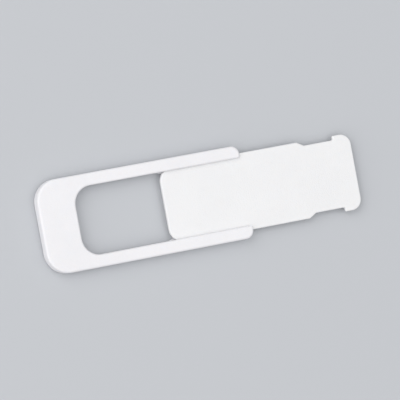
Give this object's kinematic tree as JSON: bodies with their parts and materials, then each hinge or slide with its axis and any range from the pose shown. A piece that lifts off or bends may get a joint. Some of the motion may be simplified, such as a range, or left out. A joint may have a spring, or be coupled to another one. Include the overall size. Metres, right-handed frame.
{
  "type": "webcam cover slider",
  "caption": "Flat sliding privacy cover for a laptop camera: a U-shaped lipped frame with a camera window carries a captive slider plate with a notched outer end, on adhesive tape.",
  "frame": {"origin": "middle of the clear camera window, on the surface that the adhesive tape sticks to", "axes": "+X along the slide, the way the slider opens; +Y across the rails; +Z out of the front face"},
  "size_m": [0.0545, 0.015, 0.002],
  "materials": {
    "frame_plastic": "satin white moulded plastic",
    "slider_plastic": "satin white moulded plastic",
    "adhesive": "pale acrylic foam tape, slightly tacky"
  },
  "bodies": {
    "base": {"base_frame": "frame_plastic", "end_tape": "adhesive", "floor_tape": "adhesive"},
    "slider": {"slider": "slider_plastic"}
  },
  "joints": [
    {"name": "slider_travel", "type": "slide", "parent": "base", "child": "slider", "axis": [1, 0, 0], "range_m": [-0.0162, 0]}
  ]
}
